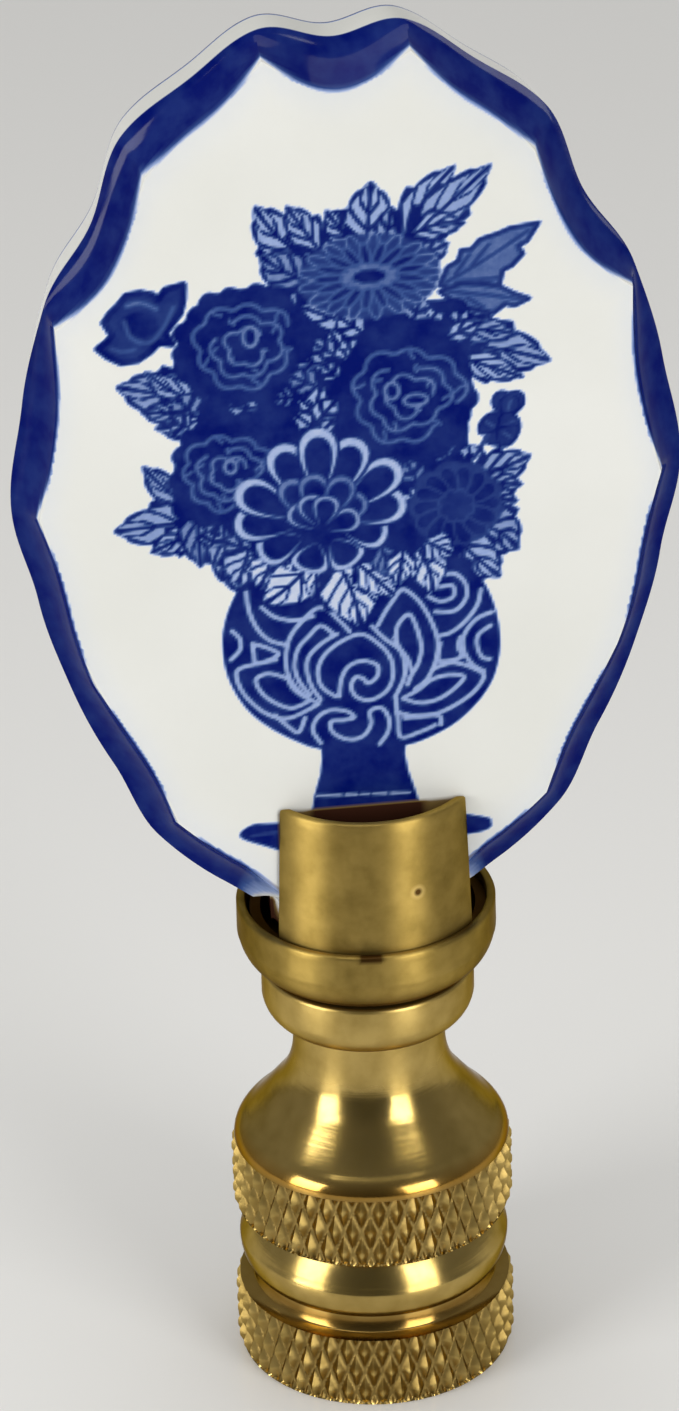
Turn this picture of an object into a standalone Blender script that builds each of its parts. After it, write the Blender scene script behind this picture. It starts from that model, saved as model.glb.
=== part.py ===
import math

import bmesh
import bpy
from mathutils import Matrix

# Lamp shade finial: a glazed porcelain plaque in a slotted brass holder on a brass dish and a turned base.
# Lengths are in metres, +Z is up, the plaque's painted front faces -Y, and the origin is at the middle of
# the base's flat underside.
MM = 0.001

# Base, one turned piece, from its flat underside to the top of its collar
BASE_SEGMENTS = 48
KNURL_COUNT = 48
KNURL_ROWS = 3
KNURL_RADIUS = 6.4 * MM
KNURL_DEPTH = 0.32 * MM
KNURL_ROW_PITCH = 1.1 * MM
KNURL_EDGE_DEPTH = 0.1 * MM
EDGE_CHAMFER = 0.12 * MM
LOW_KNURL_BOTTOM = 0.12 * MM
LOW_KNURL_TOP = 3.45 * MM
HIGH_KNURL_BOTTOM = 7.6 * MM
HIGH_KNURL_TOP = 10.95 * MM
GROOVE_RADIUS = 5.55 * MM
GROOVE_TOP = 4.35 * MM
BEAD_RADIUS = 6.15 * MM
BEAD_END_RADIUS = 5.62 * MM
BEAD_TOP = 7.3 * MM
SHOULDER_RADIUS = 5.7 * MM
SHOULDER_HEIGHT = 11.95 * MM
FLARE_RADIUS = 4.45 * MM
FLARE_HEIGHT = 13.55 * MM
NECK_RADIUS = 3.42 * MM
NECK_HEIGHT = 15.8 * MM
NECK_TOP = 17.4 * MM
COLLAR_RADIUS = 4.78 * MM
COLLAR_BOTTOM = 18.55 * MM
COLLAR_TOP = 20.1 * MM
COLLAR_CHAMFER = 0.15 * MM

# Threaded stud hole, shown here as a plain bore at about the thread's middle radius
BORE_RADIUS = 2.95 * MM
BORE_DEPTH = 9.5 * MM
BORE_MOUTH_RADIUS = 3.4 * MM
BORE_CONE = 1.2 * MM

# Gaps between pieces that sit on one another
SEAT_GAP = 0.3 * MM

# Dish
DISH_SEGMENTS = 48
DISH_BOTTOM = COLLAR_TOP + SEAT_GAP
DISH_FOOT_RADIUS = 4.7 * MM
DISH_RIM_RADIUS = 5.78 * MM
DISH_BAND_BOTTOM = 22.05 * MM
DISH_TOP = 23.4 * MM
DISH_WALL = 0.3 * MM
DISH_FLOOR = 0.45 * MM
DISH_EDGE = 0.08 * MM

# Slotted holder, a short tube with a floor
HOLDER_SEGMENTS = 64
HOLDER_BOTTOM = DISH_BOTTOM + DISH_FLOOR + SEAT_GAP
HOLDER_FOOT_RADIUS = 4.2 * MM
HOLDER_RADIUS = 5.3 * MM
HOLDER_TOP_RADIUS = 5.2 * MM
CHEEK_HEIGHT = 6.15 * MM
HOLDER_TOP = DISH_TOP + CHEEK_HEIGHT
HOLDER_WALL = 0.42 * MM
HOLDER_FLOOR_TOP = HOLDER_BOTTOM + 0.7 * MM
SLOT_WIDTH = 6.2 * MM
SLOT_BELOW_RIM = 0.5 * MM
SLOT_FLOOR = DISH_TOP - SLOT_BELOW_RIM

# Porcelain plaque: an upright oval with fourteen lobes and a bevelled rim
PLAQUE_HALF_WIDTH = 14.0 * MM
PLAQUE_HALF_HEIGHT = 21.0 * MM
PLAQUE_SHIFT = -0.27 * MM
PLAQUE_LEAN = 0.57
PLAQUE_THICKNESS = SLOT_WIDTH - SEAT_GAP
RIM_SIDE_WIDTH = 1.1 * MM
RIM_TOP_WIDTH = 1.7 * MM
FACE_HALF_WIDTH = PLAQUE_HALF_WIDTH - RIM_SIDE_WIDTH
FACE_HALF_HEIGHT = PLAQUE_HALF_HEIGHT - RIM_TOP_WIDTH
FACE_CUT_INSET = 0.35 * MM
FRONT_BEVEL_DEPTH = 1.7 * MM
BACK_BEVEL_DEPTH = 1.2 * MM
WALL_DRAFT = 0.028
BACK_BEVEL_SHARE = 0.045
LOBE_COUNT = 14
STEPS_PER_HALF_LOBE = 4
CUT_SHARE = 0.962
LAST_STEP_SHARE = 0.94
CUT_ABOVE_SLOT = 1.5 * MM
PLAQUE_CUT_HEIGHT = SLOT_FLOOR + CUT_ABOVE_SLOT
PLAQUE_CENTRE_HEIGHT = PLAQUE_CUT_HEIGHT + CUT_SHARE * PLAQUE_HALF_HEIGHT
FOOT_HALF_WIDTH = HOLDER_RADIUS - HOLDER_WALL - 2.6 * SEAT_GAP
FOOT_HEIGHT = SLOT_FLOOR + SEAT_GAP

# How far each lobe and each hollow of the hand-cut rim reaches, from the top hollow down one side
RIM_HOLLOWS = (0.965, 0.992, 0.953, 1.0, 0.988, 0.978, 1.015, 1.0)
RIM_LOBES = (1.014, 1.01, 0.991, 1.028, 0.978, 1.015, 1.032)
FACE_HOLLOWS = (0.968, 1.015, 0.951, 0.984, 0.98, 0.954, 1.0, 1.06)
FACE_LOBES = (1.068, 1.01, 1.045, 1.03, 0.972, 1.007, 1.06)


def clear_scene():
    for item in list(bpy.data.objects):
        bpy.data.objects.remove(item, do_unlink=True)


def make_material(name, colour, roughness, metallic, coat):
    material = bpy.data.materials.new(name)
    material.use_nodes = True
    shader = material.node_tree.nodes["Principled BSDF"]
    shader.inputs["Base Color"].default_value = (colour[0], colour[1], colour[2], 1.0)
    shader.inputs["Roughness"].default_value = roughness
    shader.inputs["Metallic"].default_value = metallic
    shader.inputs["Coat Weight"].default_value = coat
    return material


def make_object(name, mesh, material):
    item = bpy.data.objects.new(name, mesh)
    bpy.context.scene.collection.objects.link(item)
    mesh.materials.append(material)
    return item


def finish_mesh(name, bm, smooth_angle):
    bmesh.ops.recalc_face_normals(bm, faces=bm.faces)
    mesh = bpy.data.meshes.new(name)
    bm.to_mesh(mesh)
    bm.free()
    if smooth_angle > 0.0:
        mesh.shade_smooth()
        mesh.set_sharp_from_angle(angle=math.radians(smooth_angle))
    return mesh


def add_ring(bm, radius, height, count):
    if radius < 1e-7:
        return [bm.verts.new((0.0, 0.0, height))]
    ring = []
    for index in range(count):
        angle = 2.0 * math.pi * index / count
        ring.append(bm.verts.new((radius * math.cos(angle), radius * math.sin(angle), height)))
    return ring


# Join two rings of equal length, or one of which has twice the other's points, or a ring and a middle point
def join_rings(bm, first, second):
    if len(first) == 1 or len(second) == 1:
        middle = first[0] if len(first) == 1 else second[0]
        ring = second if len(first) == 1 else first
        for index in range(len(ring)):
            bm.faces.new((middle, ring[index], ring[(index + 1) % len(ring)]))
        return
    if len(first) == len(second):
        for index in range(len(first)):
            after = (index + 1) % len(first)
            bm.faces.new((first[index], first[after], second[after], second[index]))
        return
    coarse = first if len(first) < len(second) else second
    fine = second if len(first) < len(second) else first
    for index in range(len(coarse)):
        after = (index + 1) % len(coarse)
        middle = 2 * index + 1
        last = (2 * index + 2) % len(fine)
        bm.faces.new((coarse[index], fine[2 * index], fine[middle]))
        bm.faces.new((coarse[index], fine[middle], coarse[after]))
        bm.faces.new((coarse[after], fine[middle], fine[last]))


# Points of a smooth curve through two ends whose directions are given by a middle control point
def bend(start, control, end, steps):
    points = []
    for index in range(1, steps + 1):
        t = index / steps
        radius = (1 - t) ** 2 * start[0] + 2 * (1 - t) * t * control[0] + t ** 2 * end[0]
        height = (1 - t) ** 2 * start[1] + 2 * (1 - t) * t * control[1] + t ** 2 * end[1]
        points.append((radius, height))
    return points


# One knurled band: every row of points alternates pyramid tips and groove crossings
def knurl_rings(bm, bottom, top):
    points = 2 * KNURL_COUNT
    groove = KNURL_RADIUS - KNURL_DEPTH
    edge = KNURL_RADIUS - KNURL_EDGE_DEPTH
    middle = 0.5 * (bottom + top)
    rings = [add_ring(bm, edge, bottom, points)]
    for row in range(KNURL_ROWS):
        height = middle + (row - 0.5 * (KNURL_ROWS - 1)) * KNURL_ROW_PITCH
        ring = []
        for index in range(points):
            radius = KNURL_RADIUS if (index + row) % 2 == 0 else groove
            angle = 2.0 * math.pi * index / points
            ring.append(bm.verts.new((radius * math.cos(angle), radius * math.sin(angle), height)))
        rings.append(ring)
    rings.append(add_ring(bm, edge, top, points))
    for level in range(len(rings) - 1):
        low = rings[level]
        high = rings[level + 1]
        for index in range(points):
            after = (index + 1) % points
            if (index + level) % 2 == 1:
                bm.faces.new((low[index], low[after], high[after]))
                bm.faces.new((low[index], high[after], high[index]))
            else:
                bm.faces.new((low[index], low[after], high[index]))
                bm.faces.new((low[after], high[after], high[index]))
    return rings[0], rings[-1]


def join_profile(bm, first, profile, count):
    current = first
    for radius, height in profile:
        following = add_ring(bm, radius, height, count)
        join_rings(bm, current, following)
        current = following
    return current


def build_base():
    bm = bmesh.new()
    count = BASE_SEGMENTS
    edge = KNURL_RADIUS - KNURL_EDGE_DEPTH
    low_bottom, low_top = knurl_rings(bm, LOW_KNURL_BOTTOM, LOW_KNURL_TOP)
    high_bottom, high_top = knurl_rings(bm, HIGH_KNURL_BOTTOM, HIGH_KNURL_TOP)

    # Waist between the knurled bands: a groove, then a convex bead
    bead_middle = 0.5 * (GROOVE_TOP + BEAD_TOP)
    waist = [(GROOVE_RADIUS, LOW_KNURL_TOP + 0.1 * MM), (GROOVE_RADIUS, GROOVE_TOP - 0.2 * MM)]
    waist += [(BEAD_END_RADIUS, GROOVE_TOP)]
    bulge = 2.0 * BEAD_RADIUS - BEAD_END_RADIUS
    waist += bend((BEAD_END_RADIUS, GROOVE_TOP), (bulge, bead_middle), (BEAD_END_RADIUS, BEAD_TOP), 6)
    waist += [(BEAD_END_RADIUS - 0.1 * MM, HIGH_KNURL_BOTTOM - 0.1 * MM)]
    last = join_profile(bm, low_top, waist, count)
    join_rings(bm, last, high_bottom)

    # Shoulder, flare, neck and collar above the upper band
    shoulder_foot = (edge - 0.04 * MM, HIGH_KNURL_TOP + 0.07 * MM)
    shoulder = (SHOULDER_RADIUS, SHOULDER_HEIGHT)
    flare = (FLARE_RADIUS, FLARE_HEIGHT)
    upper = [shoulder_foot]
    upper += bend(shoulder_foot, (shoulder_foot[0], SHOULDER_HEIGHT - 0.45 * MM), shoulder, 4)
    upper += bend(shoulder, (SHOULDER_RADIUS - 0.65 * MM, SHOULDER_HEIGHT + 0.65 * MM), flare, 4)
    upper += bend(flare, (NECK_RADIUS + 0.1 * MM, FLARE_HEIGHT + 1.1 * MM), (NECK_RADIUS, NECK_HEIGHT), 4)
    upper += [(NECK_RADIUS, NECK_TOP)]
    neck_top = (NECK_RADIUS + 0.05 * MM, NECK_TOP)
    upper += bend(neck_top, (COLLAR_RADIUS - 0.15 * MM, NECK_TOP + 0.15 * MM), (COLLAR_RADIUS, COLLAR_BOTTOM), 5)
    upper += [(COLLAR_RADIUS, COLLAR_TOP - COLLAR_CHAMFER)]
    upper += [(COLLAR_RADIUS - COLLAR_CHAMFER, COLLAR_TOP), (0.0, COLLAR_TOP)]
    join_profile(bm, high_top, upper, count)

    # Underside and the blind bore that takes the lamp's threaded stud
    under = [(edge - EDGE_CHAMFER, 0.0), (BORE_MOUTH_RADIUS, 0.0)]
    under += [(BORE_RADIUS, BORE_MOUTH_RADIUS - BORE_RADIUS), (BORE_RADIUS, BORE_DEPTH - BORE_CONE)]
    under += [(0.0, BORE_DEPTH)]
    join_profile(bm, low_bottom, under, count)
    return finish_mesh("knurled_base", bm, 28.0)


def build_dish():
    bm = bmesh.new()
    inner = DISH_RIM_RADIUS - DISH_WALL
    foot = (DISH_FOOT_RADIUS, DISH_BOTTOM)
    band = (DISH_RIM_RADIUS, DISH_BAND_BOTTOM)
    outside = [foot]
    outside += bend(foot, (DISH_RIM_RADIUS - 0.1 * MM, DISH_BOTTOM + 0.55 * MM), band, 5)
    outside += [(DISH_RIM_RADIUS, DISH_TOP - DISH_EDGE), (DISH_RIM_RADIUS - DISH_EDGE, DISH_TOP)]
    floor = DISH_BOTTOM + DISH_FLOOR
    inner_foot = (DISH_FOOT_RADIUS - 0.25 * MM, floor)
    inner_band = (inner, DISH_BAND_BOTTOM + 0.2 * MM)
    inside = [(inner + DISH_EDGE, DISH_TOP), (inner, DISH_TOP - DISH_EDGE), inner_band]
    inside += bend(inner_band, (inner - 0.1 * MM, floor + 0.4 * MM), inner_foot, 4)
    inside += [(0.0, floor)]
    start = add_ring(bm, 0.0, DISH_BOTTOM, DISH_SEGMENTS)
    join_profile(bm, start, outside + inside, DISH_SEGMENTS)
    return finish_mesh("brass_dish", bm, 28.0)


def build_holder():
    bm = bmesh.new()
    inner = HOLDER_RADIUS - HOLDER_WALL
    inner_top = HOLDER_TOP_RADIUS - HOLDER_WALL
    foot = (HOLDER_FOOT_RADIUS, HOLDER_BOTTOM)
    wall_start = (HOLDER_RADIUS - 0.05 * MM, HOLDER_BOTTOM + 1.0 * MM)
    profile = [foot]
    profile += bend(foot, (HOLDER_RADIUS - 0.1 * MM, HOLDER_BOTTOM + 0.15 * MM), wall_start, 4)
    profile += [(HOLDER_RADIUS, DISH_TOP), (HOLDER_TOP_RADIUS, HOLDER_TOP)]
    profile += [(inner_top, HOLDER_TOP), (inner, DISH_TOP), (inner - 0.15 * MM, HOLDER_FLOOR_TOP + 0.5 * MM)]
    profile += [(inner - 0.6 * MM, HOLDER_FLOOR_TOP), (0.0, HOLDER_FLOOR_TOP)]
    start = add_ring(bm, 0.0, HOLDER_BOTTOM, HOLDER_SEGMENTS)
    join_profile(bm, start, profile, HOLDER_SEGMENTS)
    return finish_mesh("slotted_holder", bm, 28.0)


# A box that cuts both side slots in one pass
def build_slot_cutter():
    bm = bmesh.new()
    bmesh.ops.create_cube(bm, size=1.0)
    height = HOLDER_TOP - SLOT_FLOOR + 2.0 * MM
    bmesh.ops.scale(bm, vec=(4.0 * HOLDER_RADIUS, SLOT_WIDTH, height), verts=bm.verts)
    bmesh.ops.transform(bm, matrix=Matrix.Translation((0.0, 0.0, SLOT_FLOOR + 0.5 * height)), verts=bm.verts)
    return finish_mesh("slot_cutter", bm, 0.0)


# Reach of the rim at a step down one side: hollows and lobes take turns
def reach(step, hollows, lobes, pointed):
    half = step / STEPS_PER_HALF_LOBE
    cell = int(half) // 2
    place = half - 2 * cell
    rising = place <= 1.0
    hollow = hollows[cell] if rising else hollows[min(cell + 1, len(hollows) - 1)]
    lobe = lobes[min(cell, len(lobes) - 1)]
    share = place if rising else 2.0 - place
    if pointed:
        blend = share * share
    else:
        blend = 0.5 - 0.5 * math.cos(math.pi * share)
    return hollow + (lobe - hollow) * blend


# One side of the plaque's oval in its own plane, from the top round to the bottom
def oval_side(half_width, half_height, hollows, lobes, pointed):
    steps = LOBE_COUNT * STEPS_PER_HALF_LOBE
    side = []
    for step in range(steps + 1):
        angle = math.pi * (0.5 - step / steps)
        scale = reach(step, hollows, lobes, pointed)
        across = scale * half_width * math.cos(angle)
        height = PLAQUE_CENTRE_HEIGHT + scale * half_height * math.sin(angle)
        side.append((across, height))
    return side


# Whole outline: the oval, cut flat at the bottom, with the short foot that goes down between the cheeks
def close_outline(side, count, inset):
    cut = PLAQUE_CUT_HEIGHT + inset
    before = [point for point in side if point[1] > cut][-1]
    after = [point for point in side if point[1] <= cut][0]
    share = (before[1] - cut) / (before[1] - after[1])
    corner = before[0] + (after[0] - before[0]) * share
    foot = FOOT_HALF_WIDTH - inset
    kept = side[:count] + [(corner, cut), (foot, cut), (foot, FOOT_HEIGHT + inset)]
    mirrored = [(-across, height) for across, height in reversed(kept[1:])]
    return kept + mirrored


def build_plaque():
    bm = bmesh.new()
    wall_side = oval_side(PLAQUE_HALF_WIDTH, PLAQUE_HALF_HEIGHT, RIM_HOLLOWS, RIM_LOBES, False)
    face_side = oval_side(FACE_HALF_WIDTH, FACE_HALF_HEIGHT, FACE_HOLLOWS, FACE_LOBES, True)
    lowest = PLAQUE_CENTRE_HEIGHT - LAST_STEP_SHARE * PLAQUE_HALF_HEIGHT
    count = len([point for point in wall_side if point[1] > lowest])
    wall = close_outline(wall_side, count, 0.0)
    face = close_outline(face_side, count, FACE_CUT_INSET)
    front = 0.5 * PLAQUE_THICKNESS
    levels = [
        (1.0, -front),
        (0.55, -front + 0.3 * FRONT_BEVEL_DEPTH),
        (0.18, -front + 0.68 * FRONT_BEVEL_DEPTH),
        (0.0, -front + FRONT_BEVEL_DEPTH),
    ]
    rings = []
    for share, depth in levels:
        ring = []
        for outer, inner in zip(wall, face):
            across = outer[0] + (inner[0] - outer[0]) * share
            height = outer[1] + (inner[1] - outer[1]) * share
            ring.append(bm.verts.new((across, depth, height)))
        rings.append(ring)

    # The wall draws in a little towards the back, and its edge there is bevelled; the bottom keeps its height
    back_levels = [
        (WALL_DRAFT, front - BACK_BEVEL_DEPTH),
        (WALL_DRAFT + 0.25 * BACK_BEVEL_SHARE, front - 0.4 * BACK_BEVEL_DEPTH),
        (WALL_DRAFT + BACK_BEVEL_SHARE, front),
    ]
    for inset, depth in back_levels:
        ring = []
        for across, height in wall:
            lowered = height - inset * max(height - PLAQUE_CENTRE_HEIGHT, 0.0)
            ring.append(bm.verts.new((across * (1.0 - inset), depth, lowered)))
        rings.append(ring)
    for level in range(len(rings) - 1):
        join_rings(bm, rings[level], rings[level + 1])
    bm.faces.new(rings[0])
    bm.faces.new(rings[-1])

    # The plaque sits a little to the left in its slots and leans that way, about the foot of the slots
    lean = Matrix.Rotation(-math.radians(PLAQUE_LEAN), 4, "Y")
    foot = Matrix.Translation((0.0, 0.0, SLOT_FLOOR))
    place = Matrix.Translation((PLAQUE_SHIFT, 0.0, 0.0)) @ foot @ lean @ foot.inverted()
    bmesh.ops.transform(bm, matrix=place, verts=bm.verts)
    return finish_mesh("porcelain_plaque", bm, 32.0)


clear_scene()

glaze = make_material("white_glaze", (0.86, 0.87, 0.86), 0.12, 0.0, 0.5)
base_brass = make_material("base_brass", (0.72, 0.53, 0.24), 0.25, 1.0, 0.0)
dish_brass = make_material("dish_brass", (0.70, 0.52, 0.25), 0.28, 1.0, 0.0)
holder_brass = make_material("holder_brass", (0.68, 0.50, 0.24), 0.3, 1.0, 0.0)

make_object("knurled_base", build_base(), base_brass)
make_object("brass_dish", build_dish(), dish_brass)
holder = make_object("slotted_holder", build_holder(), holder_brass)
cutter = make_object("slot_cutter", build_slot_cutter(), holder_brass)
cutter.hide_render = True
cutter.display_type = "WIRE"
slots = holder.modifiers.new("slots", "BOOLEAN")
slots.operation = "DIFFERENCE"
slots.solver = "EXACT"
slots.object = cutter
make_object("porcelain_plaque", build_plaque(), glaze)
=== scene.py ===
import math

import bpy
import numpy as np
from mathutils import Matrix, Vector
from mathutils.geometry import delaunay_2d_cdt


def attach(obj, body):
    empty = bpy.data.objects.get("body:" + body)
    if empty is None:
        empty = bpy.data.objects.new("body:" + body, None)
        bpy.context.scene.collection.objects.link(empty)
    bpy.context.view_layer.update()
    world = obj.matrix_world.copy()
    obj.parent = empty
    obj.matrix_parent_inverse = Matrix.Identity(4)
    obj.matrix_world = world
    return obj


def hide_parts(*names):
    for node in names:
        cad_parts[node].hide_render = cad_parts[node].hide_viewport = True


MM = 0.001

# Camera: a close shot from above, a little to the left of the plaque's front, and rolled slightly
AIM = Vector((0.0, 0.0, 33.0 * MM))
CAMERA_DISTANCE = 260.0 * MM
CAMERA_AZIMUTH = -6.0
CAMERA_ELEVATION = 28.45
CAMERA_ROLL = -1.4
PHOTO_WIDTH = 679.0
PHOTO_HEIGHT = 1411.0
FOCAL_PIXELS = 5935.0
AIM_COLUMN = 361.0
AIM_ROW = 702.9

# The room is dimmer on the camera's side than behind the object
FRONT_ROOM_LIGHT = 0.07
BACK_ROOM_LIGHT = 0.3
ROOM_COLOUR = (1.0, 0.99, 0.97, 1.0)

# Light boxes: azimuth, elevation, distance, width and height in metres, and watts
LIGHTS = {
    "left_box": (-61.0, 18.0, 0.28, 0.12, 0.17, 0.43),
    "right_box": (33.0, 18.0, 0.28, 0.12, 0.17, 0.39),
    "top_box": (180.0, 84.0, 0.45, 0.5, 0.5, 1.4),
}
LIGHT_COLOUR = (1.0, 0.99, 0.96)
LIGHT_AIM = Vector((0.0, 0.0, 0.02))
FLOOR_REACH = 6.0
FLOOR_COLOUR = (0.76, 0.76, 0.755, 1.0)

# Bright and dull brass of the brushed and of the polished pieces, then the brown of painted shade, the
# orange of painted reflection and the edges' tint
BRUSHED_BRASS = ((0.44, 0.305, 0.082, 1.0), (0.25, 0.17, 0.038, 1.0))
POLISHED_BRASS = ((0.54, 0.385, 0.125, 1.0), (0.37, 0.255, 0.07, 1.0))
SHADE_BROWN = (0.075, 0.036, 0.008, 1.0)
BRASS_REFLECTION_ORANGE = (0.42, 0.2, 0.02, 1.0)
EDGE_TINT = (0.45, 0.36, 0.22, 1.0)

# Small pit with a light halo in the front cheek, its dark middle painted shade: degrees round the axis,
# then millimetres
PIT_TURN = -70.1
PIT_RADIUS = 5.25
PIT_HEIGHT = 26.1
PIT_HOLE = (0.1, 0.24)
PIT_HALO = (0.24, 0.42)
PIT_HALO_COLOUR = (0.62, 0.45, 0.16, 1.0)

# White glaze, the blue from its palest to its fullest, and the browns painted low on the face: a painted
# reflection of the brass cheek, deepening to painted shade in the gap behind it
GLAZE = ((0.3, (0.69, 0.695, 0.665, 1.0)), (0.7, (0.73, 0.735, 0.71, 1.0)))
BLUES = (
    (0.0, (0.60, 0.66, 0.80, 1.0)),
    (0.3, (0.26, 0.345, 0.6, 1.0)),
    (0.68, (0.034, 0.075, 0.25, 1.0)),
    (1.0, (0.0006, 0.0052, 0.12, 1.0)),
)
REFLECTION_AND_SHADE_COLOURS = ((0.5, (0.2, 0.13, 0.045, 1.0)), (0.95, (0.045, 0.016, 0.009, 1.0)))

# Plaque, in millimetres in its own plane, with heights from its middle
HALF_WIDTH = 14.0
HALF_HEIGHT = 21.0
FACE_HALF_WIDTH = 12.9
FACE_HALF_HEIGHT = 19.3
THICKNESS = 5.9
FRONT_BEVEL = 1.7
BACK_BEVEL = 1.2
WALL_DRAFT = 0.028
BACK_BEVEL_SHARE = 0.045
CENTRE_HEIGHT = 44.6
CUT_HEIGHT = -20.2
LOWEST_LOBE = -0.94
FACE_CUT_INSET = 0.35
FOOT_HALF_WIDTH = 4.1
FOOT_HEIGHT = -21.4
SLOT_FLOOR = 22.9
SLOT_HALF_WIDTH = 3.1
PLAQUE_SHIFT = -0.27
HOLDER_SHIFT = 0.08
PLAQUE_LEAN = 0.57
LOBES = 14
STEPS_PER_HALF_LOBE = 20
RIM_HOLLOWS = (0.965, 0.992, 0.953, 1.0, 0.988, 0.978, 1.015, 1.0)
RIM_LOBES = (1.014, 1.01, 0.991, 1.028, 0.978, 1.015, 1.032)
FACE_HOLLOWS = (0.968, 1.015, 0.951, 0.984, 0.98, 0.954, 1.0, 1.06)
FACE_LOBES = (1.068, 1.01, 1.045, 1.03, 0.972, 1.007, 1.06)
FACE_GRID = 0.107
GRID_REACH = 14.5
GRID_TOP = 21.5
REFLECTION_AND_SHADE_TOP = -14.99
DARK_CORE_REACH = 2.4
OLIVE_REACH = 4.05
RIM_END = 5.0

# Strength of the blue: pale and full
PALE = 0.3
FULL = 1.0

# Widths of the lines in leaves and flowers; size, lobes, depth, turn and blue of a peony's rings
LEAF_LINE = 0.18
HANGING_LEAF_LINE = 0.1
CLUSTER_GROWTH = 1.15
PEONY_LINE = 0.17
PEONY_RINGS = ((0.82, 9, 0.14, 0.0, 0.66), (0.6, 7, 0.18, 0.5, 0.63), (0.38, 5, 0.24, 0.2, 0.6))

# The print's tables, in hundredths of a millimetre across and up from the plaque's middle. A leaf has the
# places of its stalk and tip, then its width in millimetres and the blue of its cells, and where they
# aren't 3 and 0, its number of veins and its bow.
# Pale dashes on the line round the vase's foot: painted reflection of the cheek's bright top edge
CHEEK_EDGE_REFLECTIONS = (
    (-196, -1440, -97, -1446), (-71, -1447, -27, -1450), (-1, -1451, 25, -1453),
    (51, -1454, 103, -1457), (129, -1459, 203, -1463),
)
# Lines of the pattern on the vase
VASE_SCROLLS = (
    # The onion-shaped middle petal, its line running into a spiral, and the edge around it
    (-102, -957, -160, -903, -174, -824, -142, -750, -72, -694, 19, -664, 99, -724, 144, -796, 150,
     -884, 118, -953, 48, -989, -12, -966, -32, -915, -13, -873, 21, -881, 42, -905, 81, -877, 85, -824,
     28, -795, -37, -813, -73, -872, -85, -959),
    (67, -630, 117, -692, 184, -756, 203, -831, 197, -898, 156, -986),
    # Upright leaves on both sides of it
    (-31, -645, -85, -573, -126, -529, -172, -524, -234, -578, -288, -650, -308, -735, -305, -822, -276,
     -892, -226, -950, -176, -984),
    (-100, -653, -154, -607, -207, -653, -256, -711, -274, -796, -253, -875, -213, -937),
    (-87, -654, -157, -696, -211, -753, -221, -820, -203, -899, -167, -966),
    (93, -628, 125, -568, 161, -514, 205, -465, 267, -519, 316, -610, 348, -718, 341, -814, 300, -907,
     247, -951),
    (168, -702, 179, -635, 227, -587, 259, -653, 277, -750, 263, -826, 232, -882, 213, -928),
    (164, -692, 180, -741, 217, -803, 232, -862),
    # Low leaves
    (-352, -755, -438, -766, -522, -792, -515, -870, -471, -947, -400, -1016, -307, -1045, -180, -989),
    (-304, -851, -384, -819, -443, -843, -418, -913, -360, -967, -292, -996, -218, -970),
    (-304, -851, -284, -901, -235, -949),
    (336, -857, 414, -840, 499, -873, 545, -916, 505, -985, 430, -1041, 339, -1081, 252, -1088, 162,
     -1060),
    (190, -994, 262, -1023, 340, -1013, 410, -971, 459, -913, 395, -897, 317, -914, 260, -957, 190,
     -994),
    # Scrolls at the edges
    (-468, -418, -461, -500, -431, -589, -378, -656, -306, -687),
    (-404, -496, -348, -548, -264, -571, -186, -559), (-536, -598, -505, -639, -506, -692, -547, -736),
    (-451, -668, -388, -693, -342, -731, -433, -766, -447, -712, -451, -668),
    (315, -509, 365, -536, 421, -519, 418, -466, 354, -465, 372, -419, 428, -408, 474, -457, 477, -529,
     428, -586, 343, -585),
    (542, -496, 523, -571, 470, -643, 409, -690, 352, -704),
    (586, -608, 517, -638, 464, -710, 462, -787, 499, -858, 546, -892),
    (581, -673, 528, -711, 519, -763, 539, -823, 573, -836),
    (447, -718, 437, -765, 449, -815, 354, -825, 360, -739),
    # Scrolls over the foot
    (-174, -1180, -206, -1113, -182, -1052, -126, -1023, -57, -1034, -25, -1067, -67, -1077, -127,
     -1081, -116, -1136, -53, -1174, 12, -1163, 48, -1108, 46, -1044, 98, -1034, 127, -1091, 120, -1154,
     83, -1209),
    (160, -991, 166, -1090, 176, -1183, 258, -1167, 328, -1139), (196, -1092, 338, -1091, 354, -1137),
    (-366, -1025, -309, -1089, -267, -1117, -238, -1051),
)
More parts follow.
